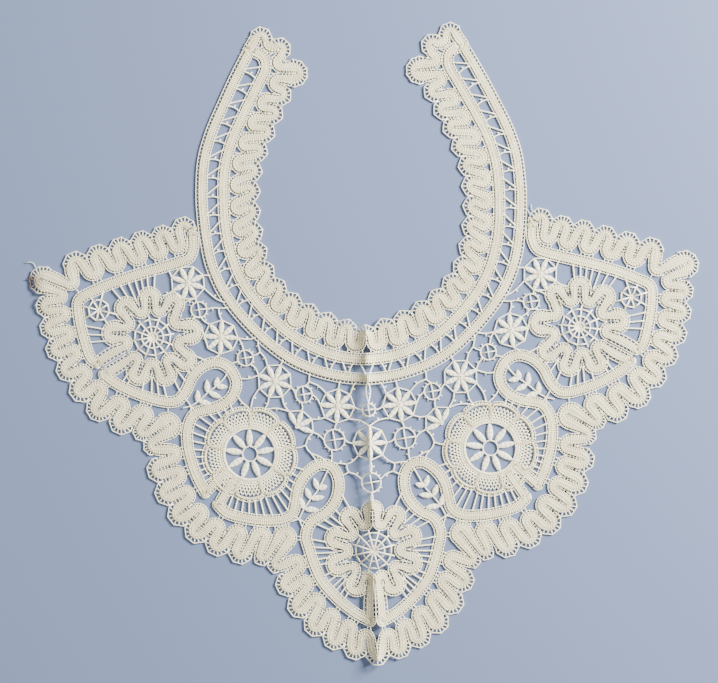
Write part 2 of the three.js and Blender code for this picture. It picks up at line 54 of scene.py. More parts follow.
CURVE_POINTS = 16  # points worked out on each stretch of a smooth line

# Holes along a tape, round a scallop's tip and outside the neck band; peak is for every other knot.
PINHOLES = {"depth": 0.75, "pitch": 1.7, "peak": 0.0, "thick": 1.0}
SCALLOP_HOLES = {"depth": 2.0, "pitch": 2.5, "peak": 0.6, "thick": 1.3}
NECK_HOLES = {**PINHOLES, "depth": 1.15, "pitch": 2.2}
# Their threads: radius across and along the edge, how far out and down the latter lies, root of the
# others, and the shortest row, as a share of its pitch.
PIN_THREAD = Sizes(across=0.22, along=0.28, out=0.12, down=0.05, root=0.3, shortest=0.4)

# Snaking tapes: depth and pitch of the holes along the legs, depth of the gathered edge at a pivot.
EDGING = {"width": 5.8, "narrow": 0.8, "pitch": 1.8, "pinched": 0.6}
PETAL_TAPE = {"width": 6.2, "narrow": 1.2, "pitch": 2.4, "pinched": 1.0}
PINCHED = 0.4  # depth of the gathered edge inside a turned-under end
SLIT = 0.5  # slit between two neighbouring legs of a snaking tape
BEND_ROWS, END_ROWS = 17, 11  # points round a bend and round a tape's end
BEND_EASE = 0.35  # how soon the holes round a bend reach their full depth: less is sooner
# Half the turn of a bend in degrees: free of others, or a margin less than would meet the next one.
HALF_TURN = Sizes(least=60.0, free=84.0, most=106.0, margin=4)
# A leg: fewest rows, rows its bends take, share over which its holes grow, how soon it leaves the slit.
LEG = Sizes(fewest=4, less=3, grown=0.25, swing=0.8)
SEWING = Sizes(pitch=2.3, longest=3.0, thread=0.26, root=0.3)  # from the edgings' feet to the tapes

BAR, FINE_BAR = 0.45, 0.4  # radius of a braided bar
TWIST = 1.3  # length of one turn of its twist
SWELL = (0.86, 1.06)  # its thickness between the turns and on them
TUCK = 2.2  # it stops this far from the middle of the tape it is sewn to
FINE = 0.4  # spacing of its points before it is cut off there
FRAY = 0.22  # radius of a loose thread end
# A small point of two threads, on bars and ladder bars at least this long.
SPUR = Sizes(long=1.5, short=1.1, lean=(0.5, 0.3), thread=0.3, bar=6, ladder=3)
# A leaf: share of its width left at the ends, and how full its sides are.
LEAF = Sizes(width=3.3, swell=0.85, rows=13, end=0.1, full=0.8)
# The centre-front fold: its height, and how far to the side it has sunk to a third.
FOLD = Sizes(rise=4.6, reach=4.6)

# Section of a worked tape: share of its width and height, over the top and back underneath.
TAPE_SECTION = [(0, 0.3), (0.03, 1.0), (0.1, 1.2), (0.2, 0.8), (0.38, 1.06), (0.5, 1.2), (0.62, 1.06),
                (0.8, 0.8), (0.9, 1.2), (0.97, 1.0), (1, 0.3), (0.8, 0.05), (0.5, 0.03), (0.2, 0.05)]
THREAD_SECTION = [(0, 0.4), (0.15, 1.0), (0.5, 1.15), (0.85, 1.0), (1, 0.4), (0.5, 0.05)]
LEAF_SECTION = [(0, 0.45), (0.1, 0.85), (0.3, 1.0), (0.42, 0.94), (0.5, 1.08), (0.58, 0.94), (0.7, 1.0),
                (0.9, 0.85), (1, 0.45), (0.8, 0.15), (0.5, 0.05), (0.2, 0.15)]

# Soft creases besides the fold: where each lies, its direction, half length, half width and height.
CREASES = [
    ((-14, 8), 62, 15, 5, 1.3), ((15, 11), 118, 13, 5, 1.0), ((-27, 16), 55, 12, 4.5, 0.7),
    ((31, 20), 130, 12, 5, 0.6), ((-176, 36), 20, 16, 6, 1.2), ((9, -150), 80, 20, 6, 0.8),
]

# ---- layout of the wearer's left half ----
NECK_TAPES = {
    "outer": [(0, -16), (20, -13.6), (40, -6), (56, 6), (70, 21), (79.5, 35), (85.4, 50), (88, 65),
        (89.2, 80), (89.2, 92), (87.6, 108), (83, 123), (75.6, 139), (67.6, 155), (60.4, 168)],
    "inner": [(0, -5), (20, -2), (40, 8), (56, 22.5), (67.6, 38.5), (73.9, 55), (76.5, 70),
        (77.1, 85), (76.1, 102), (72.1, 117), (65.1, 132), (56.6, 148), (51.4, 158), (52, 165),
        (57, 168.4)],
}
# The ladder between them: "step" is the spacing of its rails' points, "over" lifts the inner tape.
NECK_LADDER = Sizes(pitch=5.0, bar=0.46, bow=1.3, step=0.25, over=0.03)
NECK_EDGE = Sizes(
    loops=15,
    tip_rail=[(0, 13.5), (20, 21), (38.3, 31.8), (51.7, 48), (56.6, 66), (57.8, 86), (54, 108.5),
        (37.6, 143)],
    foot_rail=[(0, -1.6), (19, 1.6), (37.8, 11), (53.2, 24.8), (64.5, 40.2), (70.4, 55.8),
        (72.9, 70.6), (73.6, 85), (72.6, 101.4), (68.8, 115.8), (62, 130.4), (54, 145.6)],
    strap_end=[(49.8, 150.9), (28.1, 156), (47.2, 160), (39.1, 174), (48.1, 167.6), (52.1, 181.5),
        (60.2, 169.4)],
)
# Outermost points of the scallops and of the feet between them, from centre front to the strap.
OUTER_EDGE = Sizes(
    tips=[(0, -175.5), (12.8, -172.5), (25.4, -166.5), (36.8, -158.3), (46.5, -147), (53.6, -133.8),
        (58, -121.8), (64.8, -118.2), (77.6, -116.6), (90.8, -111.4), (103, -103.4), (112.8, -92.8),
        (120, -80), (124.4, -66), (126, -52.4), (130.8, -45.6), (142.6, -41.8), (155.2, -34),
        (165, -22.6), (172.6, -10), (178.4, 2.6), (181.6, 15.6), (183.4, 28.6), (186.2, 46.4),
        (164.2, 57.6), (150.8, 61.4), (138.2, 65.2), (126, 68.6), (113.8, 71.6), (100.4, 76.4)],
    feet=[(6.4, -156), (15, -150.8), (23.4, -144.4), (30.6, -136.2), (36, -126.6), (39.4, -115.8),
        (45.6, -98.6), (60, -98.2), (73, -97), (84.6, -93.4), (93, -85.6), (99.6, -76),
        (103.8, -65.6), (105.8, -54.4), (106.6, -35.8), (122.5, -29.4), (135.6, -23.8),
        (147.6, -14.8), (155.4, -6.4), (160, 4.4), (163, 14.6), (165, 25), (166.4, 33.4),
        (160.6, 39.2), (148.6, 43.4), (136.2, 47.4), (124, 50.9), (112.4, 53.6), (102.4, 56.6),
        (95.9, 70.4)],
)
OUTLINE_TAPES = {
    "wing": [(95, 66.4), (94.9, 60), (97.6, 54), (104, 51.4), (115, 48.4), (130, 44.4), (145, 39.4),
        (161, 32.4), (160, 20), (158, 10), (155, 0), (151.4, -3.2)],
    "side": [(147.4, -10), (140, -16), (125, -23), (110, -26.5), (103, -22), (98, -12.5), (92, -7),
        (84, -5), (77, -8.6), (73.6, -17), (77, -25), (85, -30), (97, -33), (101.6, -41), (102, -51),
        (100, -61), (97, -70), (93, -77.6)],
    "front": [(86.2, -84.6), (80, -90), (65, -93.6), (51, -93.8), (44.6, -90), (42.5, -82),
        (40.6, -74.6), (36, -68), (29, -63.6), (22, -65), (18.4, -72), (19.6, -82), (25.6, -90),
        (34.4, -95.4), (37.6, -103), (36.2, -110.4), (34, -118.4), (29.8, -128.4), (22, -138.2),
        (12.4, -146.4), (3.5, -151.4)],
}
WING_CORNER = 7  # the point where the wing's tape turns its sharp corner
CORNER_CUT = 4  # the corner is cut off this many rows before and after it
FLOWER = Sizes(petal=28.3, heart=11.8)  # radius of the petals' tips and of their feet
WEB = Sizes(spokes=12, rings=(2.7, 6.2, 10.2), turn=15, overlap=0.4, spoke=0.44, ring=0.4,
            button=(0.9, 0.45))
WING_FLOWER = {
    "centre": (119.5, 10),
    "petals": [7, 50, 88, 123, 173, 217, 253, 293],
    "stems": [(-9, (151, -3.4)), (312, (146.8, -9.6))],
    "rungs": [-3, 4, 11, 52, 60, 68, 75, 81, 87, 94, 101, 186, 195, 205, 226, 235, 245, 259, 266, 273,
              283, 300, 306],
}
FRONT_FLOWER = {
    "centre": (0, -112),
    "petals": [-62, -20, 19, 56, 90, 124, 161, 200, 242],
    "stems": [(-76, (3.4, -151)), (256, (-3.4, -151))],
    "rungs": [-57, -51, -45, -40, -33, -26, -14, -8, -2, 4, 11, 26, 33, 40, 48, 62],
}
# A wheel: radii, angles of first cell and leaf, how far leaves run past hub and eye, ring round the eye.
WHEEL = Sizes(leaves=9, hub=4.2, eye=14.2, rim=25.2, leaf_width=3.6, first=-33, turn=90,
              root=0.2, past=0.4, ring=0.1, ring_bar=0.55)
DIVIDER = Sizes(width=1.7, short=1.6, step=2.0)  # between two cells; ends this far inside the rim
# The net of a cell: spread widens its outer rows, span is its start and share of the cell's angle, thread
# its radius inside and outside, lap how far hem and dividers lie over the eye.
NET = Sizes(rows=6, holes=6, hem=1.2, clear=1.8, spread=1.2, span=(0.06, 0.88),
            slack=0.02, thread=(0.44, 0.2), lap=0.2)
# The rim of a cell: how it bulges, and how deep its edge and the two sides of its band lie.
RIM = Sizes(margin=0.8, rows=14, bulge=1.7, full=0.6, depths=(0.1, 0.9, 2.6))
NET_WHEEL = {
    "centre": (67.3, -56.5),
    "stems": [((77, -70.5), (85.8, -84.2)), ((81, -66), (92.6, -77.2))],
    "rungs": [-52, -59, -66, -73, -80, -87, -94, -101, -108, -116, 238, 231, 223, 215, 207, 198, 70, 62,
              54, 46, 38, 30, 22, 14, 6, -2, -10, -17, -24, -30],
}
# The web in the wing's corner: spokes that meet nothing stop a little past its ring.
CORNER_WEB = Sizes(centre=(149, 26), spokes=8, first=15, longest=15.0, free=2, ring=6.0,
                   past=0.3, spoke=0.45, thread=0.42, button=(0.9, 0.5))
RUNG = Sizes(start=22.0, reach=46.0, longest=13.5, bar=0.48)  # start and reach are from the centre
SPRIGS = {
    "side": {
        "stem": [(77.6, -9), (80.0, -13.4), (84.5, -17.8), (89.5, -21.5), (94.5, -25.9), (98.7, -28.6),
                 (99.4, -28.9)],
        "leaves": [((85.1, -18.5), (83.8, -13.1)), ((84.8, -18.2), (78.6, -18.9)),
                   ((89.8, -21.8), (90.0, -14.4)), ((89.2, -21.4), (82.1, -24.9)),
                   ((95.6, -26.8), (95.3, -20.1)), ((94.9, -26.4), (87.8, -28.3))],
        "ties": [(103, -23.5), (97, -32), (104, -30), (99.5, -37)],
    },
    "front": {
        "stem": [(23.2, -65.6), (25.0, -68.4), (29.8, -77.3), (34.4, -82.8), (38.3, -88.2), (41.1, -93.6)],
        "leaves": [((30.0, -77.3), (32.0, -70.9)), ((29.5, -77.0), (24.6, -75.5)),
                   ((34.5, -82.4), (36.8, -76.2)), ((34.0, -82.6), (26.5, -81.6)),
                   ((38.4, -88.0), (40.1, -81.7)), ((37.8, -88.2), (29.8, -88.8))],
        "ties": [(44.6, -91.5), (36, -97), (46, -95), (38.5, -101)],
    },
}
STAR = Sizes(leaves=8, reach=9.6, root=0.3, leaf_width=3.0, swell=1.25, over=0.02,
             button=(0.7, 0.4, 0.9, 8))
# Middle, turn and hidden leaves of each star.
STARS = [
    ((0, -52), 0, []), ((17.4, -30.9), 5, []), ((52, -16.2), 22, []),
    ((40.6, -42), 20, [0, 5, 6, 7]), ((81.2, 9.2), 5, []), ((98.6, 40), 20, []),
]
# Crossed rings: angles of the cross and of the small points round them, and their threads.
RING = Sizes(turn=8, cross=0.36, points=(38, 62), point=1.4, thread=0.28)
RINGS = [((0, -33.4), 3.6), ((19.8, -49.8), 5.8), ((36, -24), 4.6), ((68, -2.8), 4.4), ((93, 24.8), 4.4),
         ((0, -74), 5.4)]
BRIDE = Sizes(bow=0.09, step=0.5)  # bow for each mm of length; spacing of points
# The ground's knots, and the knots that each of its bars joins in turn.
KNOTS = dict(
    bandMid=(0, -16), bandNear=(4.5, -15.6), bandA=(16.4, -14), bandB=(31, -10), bandC=(45, -3),
    bandD=(60, 9), bandE=(74, 27), bandF=(83, 42), arch=(32.8, -17), arch3=(59.6, 0.4), fan=(81.8, 25.4),
    starTop=(0, -42.4), starLow=(0, -61.6), starSide=(9.6, -52), starLowR=(6.8, -58.8),
    s4up=(16.6, -21.3), s4left=(7.8, -31.7), s4right=(27, -30.1), s4low=(18.2, -40.5),
    s4upR=(23.6, -23.5), s4lowR=(24.8, -37.1), s4lowL=(11.2, -38.3), s4upL=(10, -24.7), s5up=(37.3, -33),
    s5upR=(44.7, -33.3), s5left=(31.9, -37.9), s5low=(31.6, -45.3), s3up=(48.4, -7.3),
    s3upR=(55.8, -7.4), s3right=(60.9, -12.6), s3side=(60.8, -20), s3low=(48.2, -25),
    s3lowL=(43.1, -19.8), s3lowR=(55.6, -25.1), s2left=(71.6, 8.4), s2low=(82, -0.4), s2up=(80.4, 18.8),
    s2upR=(87.4, 16.6), s2lowR=(88.6, 3), s1low=(94.5, 31.3), s1lowL=(89.6, 36.7), s1left=(89.9, 44.1),
    s1right=(107.3, 35.9), s1side=(107.6, 43.3), ringTop=(0, -29.8), ringSide=(3.6, -33.4),
    ring2Top=(35.8, -19.4), ring2Low=(37.4, -28.6), ring2Side=(40.6, -24), ring2In=(31.4, -24),
    ring3In=(63.8, -1.6), ring3Low=(65, -6), ring3Up=(69, 1.6), ring3Side=(72, -4.6),
    ring4Up=(19.4, -44), ring4Side=(25.6, -49.8), ring4In=(14, -49.8), ring4Low=(21.6, -55.2),
    ring5Side=(5.2, -72.4), ring5Top=(0, -68.6), ring5Low=(0, -79.4), ring6In=(88.6, 24.8),
    ring6Low=(92, 20.6), ring6Up=(94.2, 29), tapeA=(73.4, -14), tapeB=(74.4, -21), tapeC=(88, -5.8),
    netA=(58.6, -32), netB=(66, -31.6), netC=(43.6, -53.6), loopTop=(23, -64), loopFork=(30, -64),
    loopSide=(19, -70), fork=(33.2, -57), forkUp=(36, -52.4), bow=(13.4, -63.6), bowLow=(12.4, -68),
    flowerTop=(0, -86), petalIn=(97, 20), petalSide=(103, 27), petalWing=(113.4, 33), tapeWing=(111, 49),
)
BRIDES = [
    "bandMid ringTop", "bandNear s4upL", "bandA s4up", "bandB arch ring2Top", "arch s4upR", "bandC s3up",
    "ringSide s4left", "starTop s4lowL", "starSide ring4In", "s4low ring4Up", "s4lowR s5left",
    "s4right ring2In", "ring2Low s5up", "ring2Side s3lowL", "s5upR s3low", "s5upR netA", "s3lowR netA",
    "s3side netB tapeB", "s3right tapeA", "s3upR arch3 bandD", "arch3 ring3In", "s3right ring3Low",
    "ring3Side tapeC", "ring3Up s2left", "bandD s2left", "s2low tapeC", "s2up fan bandE", "fan ring6In",
    "s2upR ring6Low petalIn", "s2lowR petalIn", "ring6Up s1low", "s1lowL bandE", "s1left bandF",
    "s1low petalSide", "s1right petalWing", "s1side tapeWing", "s5low ring4Side", "s5low forkUp netC",
    "ring4Low loopTop", "loopTop fork forkUp", "fork loopFork", "starLow ring5Top", "starLowR bow loopTop",
    "bow bowLow ring5Side", "bowLow loopSide", "ring5Low flowerTop",
]

# Loose thread ends, those on the right given as on the left: start, end, and bow for each mm of length.
FRAYS_RIGHT = [
    ((56.5, 174), (60.2, 176.4), 0.1), ((58.6, 171.6), (62, 173.4), -0.1),
    ((60.4, 168.6), (63.9, 170.2), 0.1), ((62.2, 165.8), (65.4, 167), 0.0),
    ((183, 50), (189, 53.5), 0.3), ((185.5, 46), (189.4, 44), -0.2),
]
FRAYS_LEFT = [((94, 73.5), (90.6, 77.2), 0.2), ((96.5, 75), (95, 79), -0.2)]

# What each piece was worked to before it was sewn in: width and length, in metres.
SIDES = ("left", "right")
PAIRED_CUTS = {
    "flower": (0.057, 0.060), "net_wheel": (0.053, 0.062), "tape_wing": (0.0115, 0.125),
    "tape_side": (0.010, 0.22), "tape_front": (0.010, 0.24), "sprig_side": (0.012, 0.032),
    "sprig_front": (0.012, 0.032),
}
CUTS = {
    "neck_edging": (0.018, 0.53), "neck_band": (0.020, 0.44), "outer_edging": (0.022, 0.80),
    "flower_centre": (0.057, 0.066),
    **{f"{name}_{side}": cut for name, cut in PAIRED_CUTS.items() for side in SIDES},
    "star_ground": (0.020, 0.22),
}


# ---- plane geometry ----
def flip(points):
    return np.asarray(points, float) * (-1, 1)


def polar(centre, radius, angle):
    turn = np.radians(angle)
    return np.stack([centre[0] + radius * np.cos(turn), centre[1] + radius * np.sin(turn)], axis=-1)


def loop(centre, radius, sides=40):
    return polar(centre, radius, np.linspace(0, 360, sides + 1))


def unit(vector):
    return vector / np.linalg.norm(vector)


def units(vectors):
    return vectors / np.maximum(np.linalg.norm(vectors, axis=1, keepdims=True), 1e-9)


def to_left(vectors):
    """One vector or many, turned a quarter to the left."""
    return np.stack([-vectors[..., 1], vectors[..., 0]], axis=-1)


def travelled(line):
    steps = np.linalg.norm(np.diff(line, axis=0), axis=1)
    return np.concatenate([[0], np.cumsum(steps)])


def at_marks(line, way, marks):
    return np.stack([np.interp(marks, way, column) for column in line.T], axis=1)


def evenly(line, step=ROW, pieces=None):
    """The same line with evenly spaced points."""
    line = np.asarray(line, float)
    way = travelled(line)
    pieces = pieces or max(1, round(way[-1] / step))
    return at_marks(line, way, np.linspace(0, way[-1], pieces + 1))


def smooth(points, step=ROW, pieces=None):
    """A smooth line through the given points."""
    points = np.asarray(points, float)
    padded = np.vstack([points[:1], points, points[-1:]])
    share = np.linspace(0, 1, CURVE_POINTS, endpoint=False)[:, None]
    stretches = []
    for before, start, end, after in zip(padded, padded[1:], padded[2:], padded[3:]):
        out, back = (end - before) / 2, (after - start) / 2
        stretches.append(
            (2 * start - 2 * end + out + back) * share**3
            + (-3 * start + 3 * end - 2 * out - back) * share**2
            + out * share + start
        )
    return evenly(np.vstack([*stretches, points[-1:]]), step, pieces)


def sideways(line):
    """Unit vectors to the left of a line."""
    return to_left(units(np.gradient(line, axis=0)))


# ---- the cloth's own relief ----
def lift(x, y):
    """How far the fold and the soft creases raise the cloth."""
    height = FOLD.rise * np.exp(-np.abs(x) / FOLD.reach)
    for at, angle, length, width, rise in CREASES:
        turn = math.radians(angle)
        dx, dy = x - at[0], y - at[1]
        along = dx * math.cos(turn) + dy * math.sin(turn)
        across = dy * math.cos(turn) - dx * math.sin(turn)
        height = height + rise * np.exp(-(along / length)**2 - (across / width)**2)
    return height


class Cloth:
    """One piece in the making: closed strips of faces, each with its kind of finish."""

    KINDS = ("tape", "thread", "leaf")  # in the order of FINISHES
    STICK_FACES = np.array([
        [0, 1, 5, 4], [1, 2, 6, 5], [2, 3, 7, 6], [3, 0, 4, 7], [3, 2, 1, 0], [4, 5, 6, 7],
    ])

    def __init__(self):
        self.points, self.faces, self.kinds, self.maps = [], [], [], []
        self.size = 0
        self.area = 0.0

    def add(self, points, faces, kind, uv):
        """Takes up a closed strip and turns its faces outwards."""
        corners = points[faces]
        pairs = np.cross(corners[:, 1], corners[:, 2]) + np.cross(corners[:, 2], corners[:, 3])
        if np.einsum("ij,ij->", corners[:, 0], pairs) < 0:
            faces = faces[:, ::-1]
        self.points.append(points)
        self.faces.append(faces + self.size)
        self.kinds.append(np.full(len(faces), self.KINDS.index(kind)))
        self.maps.append(uv)
        self.size += len(points)

    def sweep(self, rings, kind, uv, closed=False):
        """Skins a row of rings with an even number of sides; an open row gets flat ends."""
        count, sides = rings.shape[:2]
        rows = np.arange(count if closed else count - 1)[:, None]
        here, there = rows * sides, (rows + 1) % count * sides
        turn = np.arange(sides)[None]
        following = (turn + 1) % sides
        skin = np.stack([here + turn, here + following, there + following, there + turn], axis=-1)
        faces = [skin.reshape(-1, 4)]
        if not closed:
            first = np.array([[0, i, i + 1, i + 2] for i in range(1, sides - 2, 2)])
            faces += [first[:, ::-1], first + (count - 1) * sides]
        self.add(rings.reshape(-1, 3), np.vstack(faces), kind, uv.reshape(-1, 2))

    def tube(self, line, radius, height=MID, sides=4, closed=False):
        """A thread along a line; radius is one value or one for each point."""
        side = sideways(line)
        if closed:
            side = to_left(units(np.roll(line, -1, axis=0) - np.roll(line, 1, axis=0)))
        radius = np.broadcast_to(radius, len(line))
        turn = (np.arange(sides) + 0.5) * 2 * math.pi / sides
        flat = line[:, None] + side[:, None] * (radius[:, None] * np.cos(turn))[..., None]
        up = height + radius[:, None] * np.sin(turn)
        way = travelled(line)
        uv = np.stack(np.broadcast_arrays(way[:, None], turn[None]), axis=-1)
        self.sweep(np.dstack([flat, up]), "thread", uv, closed)
        self.area += 2 * SQUARE_MM * float(radius.mean()) * way[-1]

    def sticks(self, starts, ends, radius):
        """Many short straight threads at once."""
        starts, ends = np.asarray(starts, float), np.asarray(ends, float)
        run = ends - starts
        length = np.maximum(np.linalg.norm(run, axis=1), 1e-6)
        side = to_left(run) / length[:, None] * radius
        corners = []
        for base in (starts, ends):
            for across, up in ((-1, 0), (0, 1), (1, 0), (0, -1)):
                height = np.full(len(run), MID + radius * up)
                corners.append(np.column_stack([base + side * across, height]))
        points = np.stack(corners, axis=1).reshape(-1, 3)
        faces = np.arange(len(run))[:, None, None] * len(corners) + self.STICK_FACES[None]
        uv = np.zeros((len(points), 2))
        uv[:, 0] = np.repeat(np.arange(len(run)), len(corners))
        self.add(points, faces.reshape(-1, 4), "thread", uv)
        self.area += 2 * SQUARE_MM * float((radius * length).sum())

    def band(self, left, right, section=TAPE_SECTION, kind="tape", height=0.0):
        """Close work between two edges, crowned and ribbed by its section."""
        share, up = np.array(section).T
        flat = left[:, None] * (1 - share)[None, :, None] + right[:, None] * share[None, :, None]
        rise = np.broadcast_to(up + height, flat.shape[:2])
        middle = travelled((left + right) / 2)
        width = np.linalg.norm(right - left, axis=1)
        uv = np.stack(np.broadcast_arrays(middle[:, None], share[None] * width.mean()), axis=-1)
        self.sweep(np.dstack([flat, rise]), kind, uv)
        self.area += SQUARE_MM * float(width.mean()) * middle[-1]


# ---- worked tape ----
def border(cloth, edge, body, holes=PINHOLES):
    """A row of pinholes: a thread along the tape's edge and short ones across to its body."""
    way = travelled(edge)
    if way[-1] < PIN_THREAD.shortest * holes["pitch"]:
        return
    pieces = max(1, round(way[-1] / holes["pitch"]))
    if holes["peak"]:
        pieces += pieces % 2
    marks = np.linspace(0, way[-1], pieces + 1)
    outer, inner = at_marks(edge, way, marks), at_marks(body, way, marks)
    out = units(outer - inner)
    outer = outer + PIN_THREAD.out * out
    if holes["peak"]:
        outer[1::2] += holes["peak"] * out[1::2]
    cloth.sticks(inner - PIN_THREAD.root * out, outer, PIN_THREAD.across * holes["thick"])
    cloth.tube(outer, PIN_THREAD.along * holes["thick"], height=MID - PIN_THREAD.down)


def worked(cloth, left, right):
    """The borders of a stretch of tape. Gives the two sides of the body between them.

    left and right hold the edge, the border's depth at each point, and its holes or None.
    """
    across = units(right[0] - left[0])
    body = []
    for (edge, depth, holes), inwards in ((left, across), (right, -across)):
        inside = edge + inwards * depth[:, None]
        if holes is not None:
            border(cloth, edge, inside, holes)
        body.append(inside)
    return body


def round_end(cloth, spot, ahead, width):
    """Half a disc of worked tape past a tape's end, where it is turned under."""
    turn = np.linspace(-math.pi / 2, math.pi / 2, END_ROWS)[:, None]
    rim = spot + width / 2 * (ahead * np.cos(turn) - to_left(ahead) * np.sin(turn))
    pivot = np.tile(spot, (END_ROWS, 1))
    outside = (rim, np.full(END_ROWS, PINHOLES["depth"]), PINHOLES)
    cloth.band(*worked(cloth, outside, (pivot, np.full(END_ROWS, PINCHED), None)))


def plain_tape(cloth, line, width=TAPE, height=0.0, ends=True, right=PINHOLES):
    """A tape of even width along a line; right gives the pinholes along its right edge."""
    out = sideways(line) * width / 2
    sides = []
    for edge, holes in ((line + out, PINHOLES), (line - out, right)):
        sides.append((edge, np.full(len(line), holes["depth"]), holes))
    cloth.band(*worked(cloth, *sides), height=height)
    if ends:
        for spot, inside in ((line[0], line[1]), (line[-1], line[-2])):
            round_end(cloth, spot, unit(spot - inside), width)


def touching(spot, out, other, other_out):
    """Radius at which the rounds of two neighbouring bends come within a slit of each other."""
    apart, spread = spot - other, out - other_out
    a = spread @ spread - 4
    b = -2 * (apart @ spread) - 4 * SLIT
    c = apart @ apart - SLIT**2
    return (-b - math.sqrt(b * b - 4 * a * c)) / (2 * a)


def stations_of(spots, width):
    """Each bend of a snaking tape: its outer rim, the pivot inside it, and the way it points."""
    last = len(spots) - 1
    outs = [None, *(unit(spots[i] - (spots[i - 1] + spots[i + 1]) / 2) for i in range(1, last))]
    stations = []
    for i, spot in enumerate(spots):
        if i in (0, last):
            other, beyond = (spots[1], spots[2]) if i == 0 else (spots[-2], spots[-3])
            leg = unit(other - spot)
            side = to_left(leg)
            side *= np.sign(side @ (beyond - spot)) * width / 2
            stations.append({"rim": np.array([spot + side]), "pivot": spot - side, "out": -leg})
            continue
        out = outs[i]
        onward = spots[i + 1] - spots[i - 1]
        onward = unit(onward - out * (onward @ out))
        near = [k for k in (i - 2, i + 2) if 0 < k < last]
        radius = min(touching(spot, out, spots[k], outs[k]) for k in near)
        halves = []
        for k in (i - 2, i + 2):
            half = HALF_TURN.free
            if k in near:
                gap = (spots[k] - outs[k] * radius) - (spot - out * radius)
                half = math.degrees(math.acos(out @ gap / np.linalg.norm(gap))) - HALF_TURN.margin
            halves.append(min(max(half, HALF_TURN.least), HALF_TURN.most))
        turn = np.radians(np.linspace(-halves[0], halves[1], BEND_ROWS))[:, None]
        rim = spot - out * radius + radius * (out * np.cos(turn) + onward * np.sin(turn))
        stations.append({"rim": rim, "pivot": spot - out * width, "out": out})
    return stations


def leg_edge(pivot, out, far, share):
    """A leg's edge from a pivot: it hugs the slit behind the pivot and swings out near its end."""
    straight = pivot + (far - pivot) * share
    depth = (far - pivot) @ -out
    slit = pivot - out * depth * share
    return slit + (straight - slit) * share**LEG.swing


def bend_sides(station, tape, picots):
    """The outer and the inner side of a bend, as worked() takes them."""
    rim = station["rim"]
    pivot = np.tile(station["pivot"], (len(rim), 1))
    holes = SCALLOP_HOLES if picots else PINHOLES
    ease = np.sin(np.linspace(0, math.pi, len(rim)))**BEND_EASE
    depth = tape["narrow"] + (holes["depth"] - tape["narrow"]) * ease
    return [(rim, depth, holes), (pivot, np.full(len(rim), tape["pinched"]), None)]


def leg_sides(here, there, length, tape):
    """The two sides of the leg between two bends, as worked() takes them."""
    rows = max(LEG.fewest, round(length / ROW) - LEG.less)
    share = np.linspace(0, 1, rows)[:, None]
    holes = {**PINHOLES, "pitch": tape["pitch"]}
    edges = [
        (leg_edge(there["pivot"], there["out"], here["rim"][-1], share[::-1]), 1 - share[:, 0]),
        (leg_edge(here["pivot"], here["out"], there["rim"][0], share), share[:, 0]),
    ]
    sides = []
    for edge, from_pivot in edges:
        grown = np.clip(from_pivot / LEG.grown, 0, 1)
        sides.append((edge, tape["pinched"] + (tape["narrow"] - tape["pinched"]) * grown, holes))
    return sides


def snake(cloth, bends, tape, picots):
    """A tape that snakes between two rows of bends. Gives its middle line.

    bends holds the outermost point of each bend in turn, with the tape's two ends first and last. Odd
    bends get picots if picots is true.
    """
    spots = np.asarray(bends, float)
    stations = stations_of(spots, tape["width"])
    last = len(spots) - 1
    lefts, rights, lines = [], [], []
    for i, here in enumerate(stations):
        stretches = []
        if 0 < i < last:
            stretches.append((bend_sides(here, tape, picots and i % 2), slice(None)))
        if i < last:
            length = np.linalg.norm(spots[i + 1] - spots[i])
            stretches.append((leg_sides(here, stations[i + 1], length, tape), slice(1, -1)))
        for sides, kept in stretches:
            left, right = sides if i % 2 else sides[::-1]
            body = worked(cloth, left, right)
            lefts.append(body[0][kept])
            rights.append(body[1][kept])
            lines.append((left[0] + right[0]) / 2)
    cloth.band(np.vstack(lefts), np.vstack(rights))
    for end in (0, last):
        round_end(cloth, spots[end], stations[end]["out"], tape["width"])
    return np.vstack(lines)


def sew(cloth, bends, covers):
    """Short threads from the feet of a snaking tape to the tape they are sewn to."""
    starts, ends = [], []
    for foot in stations_of(np.asarray(bends, float), EDGING["width"])[2:-1:2]:
        for spot in evenly(foot["rim"], SEWING.pitch):
            gaps = np.linalg.norm(covers - spot, axis=1)
            near, gap = covers[gaps.argmin()], gaps.min()
            if TAPE / 2 < gap < TAPE / 2 + SEWING.longest:
                starts.append(spot)
                ends.append(near + (spot - near) * (TAPE / 2 - SEWING.root) / gap)
    cloth.sticks(starts, ends, SEWING.thread)


# ---- bars, webs, leaves ----
def braid(cloth, line, radius=BAR, closed=False):
    """A bar of twisted threads: its thickness swells with each turn of the twist."""
    line = evenly(line, TWIST / 2)
    if closed:
        line = line[:-1]
    thin, thick = SWELL
    radius = radius * np.where(np.arange(len(line)) % 2, thick, thin)
    cloth.tube(line, radius, sides=6, closed=closed)


def spur(cloth, line, side=1, shortest=SPUR.bar):
    """A small point that sticks out half way along a bar, to its left or, with side -1, its right."""
    if travelled(line)[-1] < shortest:
        return
    middle = line[len(line) // 2]
    out = sideways(line)[len(line) // 2] * side
    tips = [middle + SPUR.long * out, middle + out * SPUR.short + np.array(SPUR.lean)]
    cloth.sticks([middle, middle], tips, SPUR.thread)


def leaf(cloth, root, tip, width=LEAF.width, height=0.0, swell=LEAF.swell):
    """A pointed leaf of wound thread; with swell over 1 it is widest past the middle."""
    root, tip = np.asarray(root, float), np.asarray(tip, float)
    share = np.linspace(0, 1, LEAF.rows)[:, None]
    spine = root + (tip - root) * share
    side = sideways(spine)
    fullness = np.sin(math.pi * share**swell)**LEAF.full
    half = width / 2 * (LEAF.end + (1 - LEAF.end) * fullness)
    cloth.band(spine + side * half, spine - side * half, LEAF_SECTION, "leaf", height)


